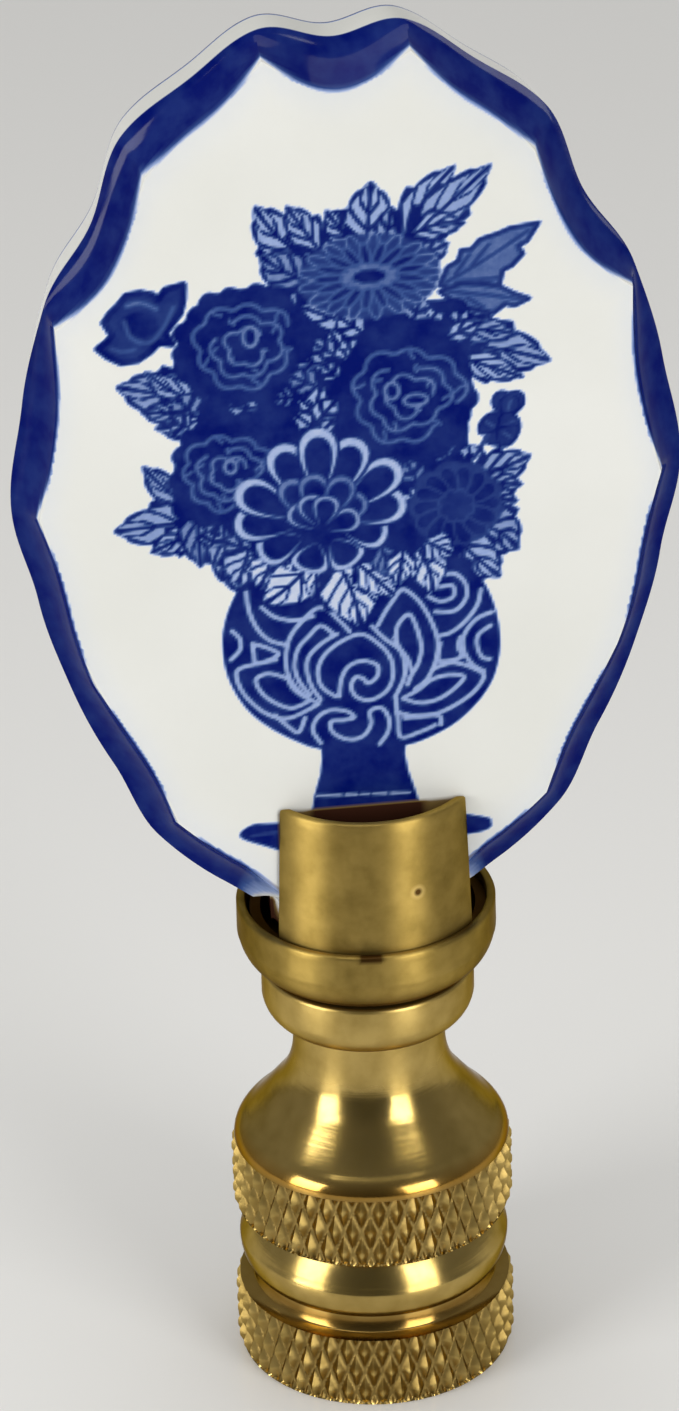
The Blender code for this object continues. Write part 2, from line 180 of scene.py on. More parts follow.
# Leaves behind the flowers
BACK_LEAVES = (
    (-121, 1103, -364, 1372, 2.3, PALE, 3, 0.08), (-95, 1142, -232, 1361, 1.7, PALE),
    (-138, 1006, -350, 1149, 2.2, 0.5, 3, 0.05), (73, 1170, -69, 1327, 1.7, PALE, 3, 0.05),
    (97, 1140, 127, 1444, 2.4, PALE), (175, 1161, 212, 1324, 1.2, 0.42, 2),
    (245, 1142, 478, 1488, 1.9, PALE, 3, 0.06), (264, 1154, 631, 1480, 2.0, 0.36),
    (278, 1181, 516, 1223, 1.5, PALE, 3, 0.1), (314, 1080, 444, 1139, 1.2, 0.42, 2),
    (419, 678, 865, 562, 2.6, 0.38, 3, 0.03), (434, 733, 731, 694, 1.5, 0.42, 3, 0.05),
    (457, 618, 747, 494, 1.5, PALE), (422, 791, 603, 789, 1.4, 0.5), (-595, 496, -977, 597, 2.5, 0.42),
    (-609, 483, -852, 657, 1.5, 0.36, 3, 0.05), (-559, 450, -822, 390, 1.9, PALE, 3, 0.08),
    (-662, 445, -880, 471, 1.3, 0.45), (-628, -33, -883, 221, 1.7, 0.42, 3, 0.05),
    (-629, -56, -1021, -78, 2.3, 0.38), (-652, -102, -869, -192, 1.5, PALE),
    (-664, 18, -656, -283, 1.9, 0.5), (-556, -63, -528, -400, 1.9, 0.42),
    (-519, -185, -461, -445, 1.7, 0.45), (521, 58, 772, 128, 1.9, 0.38, 3, -0.05),
    (541, 10, 733, -7, 1.5, 0.4), (550, -59, 711, -85, 1.6, 0.42), (538, -105, 641, -172, 1.3, 0.42, 2),
    (506, -171, 712, -317, 2.6, 0.42, 3, 0.1), (421, -210, 631, -444, 2.4, PALE, 3, -0.03),
)
# Small leaves on the ground between the flowers
CLUSTER_LEAVES = (
    (17, 803, -184, 898, 1.3, PALE, 2), (76, 754, -43, 853, 1.3, PALE, 2),
    (11, 636, -75, 789, 1.0, PALE, 2), (-49, 664, -159, 740, 1.1, 0.42, 2),
    (13, 681, 5, 748, 1.0, PALE, 1), (-81, 622, -243, 658, 1.0, 0.42, 2),
    (-43, 551, -101, 634, 1.0, 0.36, 2), (-126, 524, -256, 592, 1.3, 0.55, 2),
    (-229, 488, -322, 485, 1.0, 0.5, 2), (-374, 444, -517, 468, 1.2, 0.42, 2),
    (-651, 434, -728, 531, 1.6, 0.5, 2), (-674, 380, -754, 421, 1.2, 0.4, 2),
    (-163, 347, -232, 409, 1.0, PALE, 1), (-160, 426, -209, 486, 0.8, PALE, 1),
    (-139, 435, -110, 534, 1.1, PALE, 1), (-142, 356, -46, 461, 1.3, PALE, 2),
    (-112, 319, -59, 371, 0.8, 0.36, 1), (161, 847, 224, 919, 1.2, 0.5, 2),
    (282, 792, 326, 911, 1.4, 0.45, 2), (364, 796, 396, 849, 1.0, PALE, 1),
    (476, 775, 488, 841, 1.0, 0.36, 1), (423, 702, 568, 768, 1.0, PALE, 2),
    (420, 147, 369, 209, 1.2, 0.6, 2), (282, 45, 233, 152, 1.2, 0.6, 2),
    (504, 197, 512, 128, 1.0, PALE, 1), (265, -34, 224, 16, 0.9, PALE, 1),
    (-607, -187, -583, -108, 1.3, 0.42, 2), (-432, -214, -564, -167, 1.3, 0.5, 2),
    (-446, -305, -499, -335, 1.2, PALE, 1), (85, -296, 180, -258, 0.9, 0.36, 1),
)
# Leaves that hang over the vase's mouth
HANGING_LEAVES = (
    (-445, -207, -503, -382, 2.1, 0.24), (-336, -236, -411, -409, 1.9, 0.17),
    (-177, -288, -397, -482, 2.4, 0.17, 3, 0.06), (-160, -280, -171, -488, 1.3, 0.17),
    (-75, -297, 21, -626, 3.0, 0.17, 4, 0.04), (9, -314, 170, -491, 1.7, 0.17),
    (113, -239, 168, -414, 1.4, 0.6), (266, -262, 336, -497, 1.9, 0.17, 3, 0.08),
    (215, -267, 184, -444, 1.4, 0.17), (300, -237, 426, -314, 1.6, 0.24),
    (-260, -243, -255, -338, 1.2, 0.17, 2),
)

# Small dark dash of painted shade in the front of the dish's inner edge, in degrees round the axis
DASH_TURN = -94.2
DASH_REACH = 5.2

# Knurled bands and threaded stud hole of the turned base, in millimetres
KNURL_COUNT = 48
COLUMNS = 480
KNURL_RADIUS = 6.4
KNURL_DEPTH = 0.38
KNURL_ROW_PITCH = 1.1
KNURL_STEP = 0.1
LOWER_BAND = (0.1, 3.45)
UPPER_BAND = (7.6, 10.95)
# Grooves darkened by painted shade: each groove's height and reach
SHADED_SEAMS = ((11.0, 0.3), (4.0, 0.9), (7.45, 0.5))
BORE_RADIUS = 3.4
THREAD_RADIUS = 2.7
THREAD_DEPTH = 0.5
THREAD_PITCH = 25.4 / 27.0
BORE_DEPTH = 8.3
BORE_ROWS = 90
BORE_COLUMNS = 96


def add_object(name, data):
    item = bpy.data.objects.new(name, data)
    bpy.context.scene.collection.objects.link(item)
    return item


def make_mesh_object(name, verts, faces, smooth_angle):
    mesh = bpy.data.meshes.new(name)
    mesh.from_pydata([tuple(v) for v in verts], [], faces)
    mesh.update()
    mesh.shade_smooth()
    mesh.set_sharp_from_angle(angle=math.radians(smooth_angle))
    return add_object(name, mesh)


# Values at the object's points, by name, for its material to read
def store(item, **values):
    for name, numbers in values.items():
        attribute = item.data.attributes.new(name, "FLOAT", "POINT")
        attribute.data.foreach_set("value", np.asarray(numbers, dtype=np.float32))


def smoothstep(low, high, value):
    t = np.clip((value - low) / (high - low), 0.0, 1.0)
    return t * t * (3.0 - 2.0 * t)


def on_circle(radius, height, column, columns):
    angle = 2.0 * math.pi * column / columns
    return (radius * math.cos(angle), radius * math.sin(angle), height)


# Four-sided faces between neighbouring rings of points
def ring_faces(rings, count, start=0, inward=False):
    faces = []
    for ring in range(rings - 1):
        low = start + ring * count
        for index in range(count):
            after = (index + 1) % count
            face = (low + index, low + after, low + count + after, low + count + index)
            faces.append((face[0], face[3], face[2], face[1]) if inward else face)
    return faces


# Unit vector from the middle towards a place at an azimuth and elevation in degrees
def direction(azimuth, elevation):
    azimuth = math.radians(azimuth)
    elevation = math.radians(elevation)
    level = math.cos(elevation)
    return Vector((math.sin(azimuth) * level, -math.cos(azimuth) * level, math.sin(elevation)))


def make_camera():
    outward = direction(CAMERA_AZIMUTH, CAMERA_ELEVATION)
    right = direction(CAMERA_AZIMUTH + 90.0, 0.0)
    up = outward.cross(right)
    roll = math.radians(CAMERA_ROLL)
    turned_right = math.cos(roll) * right + math.sin(roll) * up
    turned_up = math.cos(roll) * up - math.sin(roll) * right
    data = bpy.data.cameras.new("camera")
    data.sensor_width = 36.0
    data.lens = FOCAL_PIXELS / PHOTO_HEIGHT * data.sensor_width
    data.shift_x = (0.5 * PHOTO_WIDTH - AIM_COLUMN) / PHOTO_HEIGHT
    data.shift_y = (AIM_ROW - 0.5 * PHOTO_HEIGHT) / PHOTO_HEIGHT
    data.clip_start = 0.01
    camera = add_object("camera", data)
    basis = Matrix((turned_right, turned_up, outward)).transposed().to_4x4()
    camera.matrix_world = Matrix.Translation(AIM + CAMERA_DISTANCE * outward) @ basis
    bpy.context.scene.camera = camera


def make_light(name, azimuth, elevation, distance, width, height, power):
    data = bpy.data.lights.new(name, "AREA")
    data.shape = "RECTANGLE"
    data.size = width
    data.size_y = height
    data.energy = power
    data.color = LIGHT_COLOUR
    lamp = add_object(name, data)
    outward = direction(azimuth, elevation)
    lamp.location = LIGHT_AIM + distance * outward
    lamp.rotation_euler = (-outward).to_track_quat("-Z", "Y").to_euler()


def make_studio():
    scene = bpy.context.scene
    scene.view_settings.view_transform = "Standard"
    scene.world = bpy.data.worlds.new("studio")
    scene.world.use_nodes = True
    tree = scene.world.node_tree
    background = tree.nodes["Background"]
    background.inputs["Color"].default_value = ROOM_COLOUR
    dome = tree.nodes.new("ShaderNodeTexCoord")
    parts = tree.nodes.new("ShaderNodeSeparateXYZ")
    room = tree.nodes.new("ShaderNodeMapRange")
    room.inputs["From Min"].default_value = -1.0
    room.inputs["From Max"].default_value = 0.2
    room.inputs["To Min"].default_value = FRONT_ROOM_LIGHT
    room.inputs["To Max"].default_value = BACK_ROOM_LIGHT
    tree.links.new(dome.outputs["Generated"], parts.inputs["Vector"])
    tree.links.new(parts.outputs["Y"], room.inputs["Value"])
    tree.links.new(room.outputs["Result"], background.inputs["Strength"])
    for name, settings in LIGHTS.items():
        make_light(name, *settings)

    mesh = bpy.data.meshes.new("floor")
    corners = [(x * FLOOR_REACH, y * FLOOR_REACH, 0) for x, y in ((-1, -1), (1, -1), (1, 1), (-1, 1))]
    mesh.from_pydata(corners, [], [(0, 1, 2, 3)])
    floor = add_object("floor", mesh)
    material = bpy.data.materials.new("pale_floor")
    material.use_nodes = True
    shader = material.node_tree.nodes["Principled BSDF"]
    shader.inputs["Base Color"].default_value = FLOOR_COLOUR
    shader.inputs["Roughness"].default_value = 0.3
    mesh.materials.append(material)


# A material and its nodes
class Nodes:
    def __init__(self, name):
        self.material = bpy.data.materials.new(name)
        self.material.use_nodes = True
        self.tree = self.material.node_tree
        self.shader = self.tree.nodes["Principled BSDF"]
        self.coordinates = self.tree.nodes.new("ShaderNodeTexCoord").outputs["Object"]

    # Constants are set on the sockets, outputs are linked to them
    def feed(self, node, inputs):
        for name, value in inputs.items():
            if isinstance(value, (float, tuple)):
                node.inputs[name].default_value = value
            else:
                self.tree.links.new(value, node.inputs[name])

    def add(self, kind, inputs):
        node = self.tree.nodes.new("ShaderNode" + kind)
        self.feed(node, inputs)
        return node

    def noise(self, scale, detail, stretch=(1.0, 1.0, 1.0)):
        place = self.add("Mapping", {"Vector": self.coordinates, "Scale": stretch}).outputs["Vector"]
        return self.add("TexNoise", {"Vector": place, "Scale": scale, "Detail": detail}).outputs["Fac"]

    def ramp(self, value, stops):
        node = self.add("ValToRGB", {"Fac": value})
        elements = node.color_ramp.elements
        for element, (position, colour) in zip(elements, (stops[0], stops[-1])):
            element.position = position
            element.color = colour
        for position, colour in stops[1:-1]:
            elements.new(position).color = colour
        return node.outputs["Color"]

    def mix(self, amount, first, second):
        node = self.add("Mix", {})
        node.data_type = "RGBA"
        self.feed(node, {0: amount, 6: first, 7: second})
        return node.outputs[2]

    def stretch(self, value, from_low, from_high, low, high):
        node = self.add("MapRange", {"Value": value, "From Min": from_low, "From Max": from_high})
        self.feed(node, {"To Min": low, "To Max": high})
        return node.outputs["Result"]

    def math(self, operation, first, second):
        node = self.add("Math", {0: first, 1: second})
        node.operation = operation
        return node.outputs["Value"]

    def attribute(self, name):
        node = self.add("Attribute", {})
        node.attribute_name = name
        return node.outputs["Fac"]

    def bump(self, height, distance, strength):
        node = self.add("Bump", {"Height": height, "Distance": distance, "Strength": strength})
        self.feed(self.shader, {"Normal": node.outputs["Normal"]})


# Turned brass: mottled, with painted orange reflection, painted shade and satin where the stored values
# say so
def brass_material(name, smooth, satin, brushed=False, pit=None):
    nodes = Nodes(name)
    mottle = nodes.noise(1100.0, 4.0)
    small = nodes.stretch(mottle, 0.35, 0.7, 0.0, 0.5)
    large = nodes.stretch(nodes.noise(280.0, 3.0), 0.35, 0.7, 0.0, 0.5)
    spread = nodes.math("ADD", small, large)
    colour = nodes.mix(spread, *(BRUSHED_BRASS if brushed else POLISHED_BRASS))
    # Painted orange reflection of the brass in its own hollows, then painted shade
    colour = nodes.mix(nodes.attribute("tarnish"), colour, BRASS_REFLECTION_ORANGE)
    colour = nodes.mix(nodes.attribute("grime"), colour, SHADE_BROWN)
    if pit:
        node = nodes.add("VectorMath", {0: nodes.coordinates, 1: pit})
        node.operation = "DISTANCE"
        distance = node.outputs["Value"]
        # The pit's dark middle is painted shade; a lighter halo rings it
        hole = nodes.stretch(distance, PIT_HOLE[0] * MM, PIT_HOLE[1] * MM, 1.0, 0.0)
        halo = nodes.stretch(distance, PIT_HALO[0] * MM, PIT_HALO[1] * MM, 0.5, 0.0)
        colour = nodes.mix(hole, nodes.mix(halo, colour, PIT_HALO_COLOUR), SHADE_BROWN)
    dulled = nodes.stretch(nodes.attribute("satin"), 0.0, 1.0, 0.0, satin)
    around = nodes.add("Tangent", {})
    around.direction_type = "RADIAL"
    around.axis = "Z"
    nodes.feed(nodes.shader, {
        "Base Color": colour,
        "Metallic": 1.0,
        "Specular Tint": EDGE_TINT,
        "Coat Weight": 0.05,
        "Coat Roughness": 0.14,
        "Tangent": around.outputs["Tangent"],
        "Anisotropic": 0.85 if brushed else 0.3,
        "Anisotropic Rotation": 0.25,
        "Roughness": nodes.math("ADD", nodes.stretch(spread, 0.0, 1.0, smooth, smooth + 0.1), dulled),
    })
    turning = nodes.noise(1500.0, 2.0, (0.12, 0.12, 2.6))
    nodes.bump(nodes.math("ADD", turning, nodes.stretch(mottle, 0.0, 1.0, 0.0, 1.0)), 0.02 * MM, 0.3)
    return nodes.material


# White glaze with the blue print, whose edges bleed a little
def porcelain_material():
    nodes = Nodes("printed_porcelain")
    cloud = nodes.stretch(nodes.noise(900.0, 3.0), 0.35, 0.65, 0.93, 1.0)
    tone = nodes.math("MULTIPLY", nodes.attribute("tone"), cloud)
    edge = nodes.math("MULTIPLY", tone, nodes.math("SUBTRACT", 1.0, tone))
    bleed = nodes.math("MULTIPLY", nodes.math("SUBTRACT", nodes.noise(2600.0, 2.0), 0.5), 0.16)
    tone = nodes.math("ADD", tone, nodes.math("MULTIPLY", bleed, nodes.math("MULTIPLY", edge, 4.0)))
    glaze = nodes.ramp(nodes.noise(120.0, 2.0), GLAZE)
    printed = nodes.mix(nodes.stretch(tone, 0.0, 0.22, 0.0, 1.0), glaze, nodes.ramp(tone, BLUES))
    # Low on the face: painted reflection of the brass cheek in brown, and painted shade
    stain = nodes.attribute("stain")
    stained = nodes.stretch(stain, 0.0, 0.5, 0.0, 1.0)
    nodes.feed(nodes.shader, {
        "Base Color": nodes.mix(stained, printed, nodes.ramp(stain, REFLECTION_AND_SHADE_COLOURS)),
        "Roughness": 0.12,
        "Specular IOR Level": nodes.stretch(nodes.attribute("gloss"), 0.0, 1.0, 0.03, 0.17),
    })
    nodes.bump(nodes.noise(220.0, 2.0), 0.05 * MM, 0.12)
    return nodes.material


# The print: shapes are painted one over another onto the points of the plaque's face
class Print:
    def __init__(self, across, height):
        self.across = across
        self.height = height
        self.tone = np.zeros(len(across))

    def near(self, points, margin):
        low = points.min(axis=0) - margin
        high = points.max(axis=0) + margin
        inside = (self.across > low[0]) & (self.across < high[0])
        inside &= (self.height > low[1]) & (self.height < high[1])
        return np.nonzero(inside)[0]

    def paint(self, index, cover, tone):
        self.tone[index] += (tone - self.tone[index]) * cover

    def fill(self, points, tone, soft=0.07):
        points = np.asarray(points, dtype=float)
        index = self.near(points, 0.3)
        distance = polygon_distance(self.across[index], self.height[index], points)
        self.paint(index, smoothstep(soft, -soft, distance), tone)

    def stroke(self, points, width, tone, closed=False, soft=0.06):
        points = np.asarray(points, dtype=float)
        if closed:
            points = np.vstack([points, points[:1]])
        index = self.near(points, 0.3 + width)
        distance = line_distance(self.across[index], self.height[index], points)
        self.paint(index, smoothstep(0.5 * width + soft, 0.5 * width - soft, distance), tone)

    def shape(self, points, fill_tone, line_tone, width):
        self.fill(points, fill_tone)
        self.stroke(points, width, line_tone, closed=True)


def line_distance(across, height, points):
    best = np.full(len(across), 1e9)
    for start, end in zip(points[:-1], points[1:]):
        run = end - start
        length = max(float(run @ run), 1e-12)
        share = np.clip(((across - start[0]) * run[0] + (height - start[1]) * run[1]) / length, 0.0, 1.0)
        gap_across = across - start[0] - share * run[0]
        gap_height = height - start[1] - share * run[1]
        best = np.minimum(best, gap_across * gap_across + gap_height * gap_height)
    return np.sqrt(best)


def polygon_distance(across, height, points):
    closed = np.vstack([points, points[:1]])
    distance = line_distance(across, height, closed)
    inside = np.zeros(len(across), dtype=bool)
    for start, end in zip(closed[:-1], closed[1:]):
        if start[1] == end[1]:
            continue
        crosses = (start[1] > height) != (end[1] > height)
        at = start[0] + (height - start[1]) * (end[0] - start[0]) / (end[1] - start[1])
        inside ^= crosses & (across < at)
    return np.where(inside, -distance, distance)


# Points from a row of numbers, across and height in turn, in hundredths of a millimetre
def placed(*numbers):
    return [(across / 100, height / 100) for across, height in zip(numbers[::2], numbers[1::2])]


# A smooth curve through the given points
def curve(points, closed=False, steps=6):
    points = [np.array(point, dtype=float) for point in points]
    if closed:
        points = points[-1:] + points + points[:2]
    else:
        points = points[:1] + points + points[-1:]
    result = []
    for before, start, end, after in zip(points, points[1:], points[2:], points[3:]):
        for step in range(steps):
            t = step / steps
            middle = (end - before) * t + (2 * before - 5 * start + 4 * end - after) * t * t
            bent = (3 * start - before - 3 * end + after) * t ** 3
            result.append(0.5 * (2 * start + middle) + 0.5 * bent)
    if not closed:
        result.append(points[-1])
    return np.array(result)


# A leaf with saw teeth: a full blue edge and veins around paler cells
def leaf(picture, ends, width, tone, veins=3, bow=0.0, line=LEAF_LINE):
    stalk, tip = np.array(ends)
    run = tip - stalk
    length = np.hypot(*run)
    side = np.array((-run[1], run[0])) / length

    def spine(share):
        return stalk + share * run + bow * length * math.sin(math.pi * share) * side

    def half_width(share):
        return 0.5 * width * math.sin(math.pi * min(share, 1.0) ** 0.75) ** 0.85

    def tooth(share):
        return 0.82 + 0.34 * ((share * (veins + 0.5)) % 1.0)

    steps = 8 * veins + 8
    left = []
    right = []
    for step in range(steps + 1):
        share = step / steps
        reach = half_width(share) * tooth(share) if 0 < step < steps else 0.0
        left.append(spine(share) + reach * side)
        right.append(spine(share) - reach * side)
    picture.fill(np.array(left + right[::-1][1:-1]), FULL)
    slant = 0.3 if veins > 2 else 0.2
    cell = (0.9 - 0.5 * slant) / veins
    gap = 1.35 * line / length
    for vein in range(veins):
        low = 0.08 + vein * cell
        high = low + cell - gap
        for hand in (-1.0, 1.0):
            corners = []
            for share, out in ((low, 0.0), (low, 0.5), (low, 1.0), (high, 1.0), (high, 0.5), (high, 0.0)):
                ahead = min(share + slant * out, 0.97)
                edge = max(half_width(ahead) * 0.88 - line, 0.0)
                corners.append(spine(ahead) + hand * (0.08 + out * edge) * side)
            picture.fill(corners, tone, 0.05)


# A smooth leaf of one middle blue with a darker edge and faint veins
def smooth_leaf(picture, points, veins, tone=0.64):
    picture.shape(points, tone, 0.95, 0.2)
    for vein in veins:
        picture.stroke(curve(vein), 0.14, 0.88)


# A petal from its root outwards: broad near its end
def petal_outline(root, angle, length, width, point=0.0):
    onward = np.array((math.cos(angle), math.sin(angle)))
    side = np.array((-onward[1], onward[0]))
    outline = []
    steps = 22
    for step in range(steps):
        turn = 2.0 * math.pi * step / steps
        along = 0.5 - 0.5 * math.cos(turn)
        spread = math.sin(turn) * (0.3 + 0.7 * along)
        along += point * max(0.0, along - 0.85)
        outline.append(np.array(root) + length * along * onward + 0.66 * width * spread * side)
    return np.array(outline)


def ruffle(centre, radius, lobes, depth, turn=0.0, squash=1.0, wobble=0.0):
    points = []
    for step in range(lobes * 8):
        angle = 2.0 * math.pi * step / (lobes * 8)
        wave = abs(math.sin(0.5 * lobes * (angle + turn)))
        reach = radius * (1.0 - depth + depth * wave + wobble * math.sin(3 * angle + turn))
        points.append((centre[0] + reach * math.cos(angle), centre[1] + squash * reach * math.sin(angle)))
    return np.array(points)


# A full-blown round flower: dark with a ruffled edge, and broken rings of lighter petal edges in it
def peony(picture, outline, centre, radius, turn, eyes):
    edge = curve(outline, closed=True, steps=3)
    picture.fill(edge, FULL)
    for point in edge[::3]:
        picture.fill(ruffle(point + 0.13 * (np.array(centre) - point), 0.52, 5, 0.05), FULL)
    for size, lobes, depth, shift, tone in PEONY_RINGS:
        middle = (centre[0] + 0.1 * radius * (1.0 - size), centre[1] - 0.05 * radius * (1.0 - size))
        ring = ruffle(middle, size * radius, lobes, depth, turn + shift, 0.92, 0.06)
        turned_by = int(round(8 * lobes * (turn + shift) / (2.0 * math.pi)))
        ring = np.roll(ring, turned_by - 8 * int(lobes * (0.15 + shift)), axis=0)
        picture.stroke(ring[:-7], PEONY_LINE, tone)
        for lobe in range(0, lobes, 2):
            start = ring[min(8 * lobe + 4, len(ring) - 7)]
            inward = np.array(centre) - start
            bent = start + 0.2 * inward + 0.08 * np.array((-inward[1], inward[0]))
            picture.stroke(curve([start, start + 0.1 * inward, bent], steps=3), 0.8 * PEONY_LINE, tone)
    for across, up, width, height in eyes:
        angles = np.linspace(0.0, 2.0 * math.pi, 17)[:-1]
        ring_across = centre[0] + across + width * np.cos(angles)
        ring_up = centre[1] + up + height * np.sin(angles)
        picture.shape(np.stack([ring_across, ring_up], axis=1), FULL, 0.56, 0.19)


# A rayed flower seen a little from the side
def daisy(picture, centre, reach_across, reach_up, petals):
    picture.fill(ruffle(centre, reach_across, petals, 0.1, 0.0, reach_up / reach_across), 0.9, 0.15)
    for ring, (size, tone, edge) in enumerate(((1.0, 0.9, 0.6), (0.78, 0.99, 0.7))):
        for index in range(petals):
            angle = 2.0 * math.pi * (index + 0.5 * ring) / petals
            across = math.cos(angle) * reach_across
            up = math.sin(angle) * reach_up
            length = size * math.hypot(across, up)
            width = size * 0.8 * math.pi * 0.7 * (reach_across + reach_up) / petals
            picture.shape(petal_outline(centre, math.atan2(up, across), length, width), tone, edge, 0.13)
    picture.shape(ruffle(centre, 0.42 * reach_across, 12, 0.14, 0.0, 0.5), 0.62, 0.7, 0.12)
    picture.fill(ruffle(centre, 0.23 * reach_across, 8, 0.1, 0.0, 0.45), FULL)


# A flower with its petals given by their tips, the outer ones first: pale drops with dark drops inside
def mum(picture, centre, rings):
    centre = np.array(centre)
    for tips, width, start, tone in rings:
        for tip in tips:
            run = np.array(tip) - centre
            angle = math.atan2(run[1], run[0])
            root = centre + start * run
            length = (1.0 - start) * np.hypot(*run)
            picture.fill(petal_outline(root - 0.04 * run, angle, 1.06 * length, width * 1.16), FULL)
            picture.fill(petal_outline(root, angle, length, width), tone)
            picture.fill(petal_outline(root - 0.02 * run, angle, 0.9 * length, 0.74 * width), FULL)
    picture.fill(ruffle(centre, 0.4, 6, 0.3), FULL, 0.1)


def bud(picture, centre, tips, width):
    for tip in tips:
        run = np.array(tip) - np.array(centre)
        outline = petal_outline(centre, math.atan2(run[1], run[0]), np.hypot(*run), width, 0.7)
        picture.shape(outline, 0.93, FULL, 0.12)
        picture.stroke([np.array(centre) + share * run for share in (0.35, 0.8)], 0.13, 0.74)


def paint_vase(picture):
    # Foot, stem and body, then pale scrolls
    picture.fill(curve(placed(
        -544, -1609, -485, -1559, -366, -1561, 250, -1565, 505, -1610, 561, -1641, 503, -1691, 69,
        -1714, -284, -1715, -449, -1663,
    ), closed=True), FULL)
    picture.stroke(placed(-491, -1614, -377, -1605), 0.14, 0.85)
    picture.fill(placed(
        -173, -1155, -170, -1254, -179, -1331, -209, -1437, -242, -1642, 280, -1653, 233, -1460, 202,
        -1348, 191, -1268, 197, -1190,
    ), FULL)
    picture.stroke(placed(-205, -1443, 207, -1463), 0.11, 0.6)
    # Pale dashes: painted reflection of the cheek's bright top edge
    for dash in CHEEK_EDGE_REFLECTIONS:
        picture.stroke(placed(*dash), 0.15, PALE)
    picture.fill(curve(placed(
        -481, -374, -541, -483, -573, -595, -579, -690, -567, -797, -529, -907, -473, -1000, -394,
        -1080, -294, -1151, -175, -1209, 14, -1237, 196, -1225, 310, -1191, 424, -1129, 521, -1035,
        584, -934, 614, -820, 619, -715, 600, -588, 563, -479, 514, -398, 460, -327, -23, -245, -362,
        -252,
    ), closed=True), FULL)
    for scroll in VASE_SCROLLS:
        picture.stroke(curve(placed(*scroll)), 0.22, PALE)


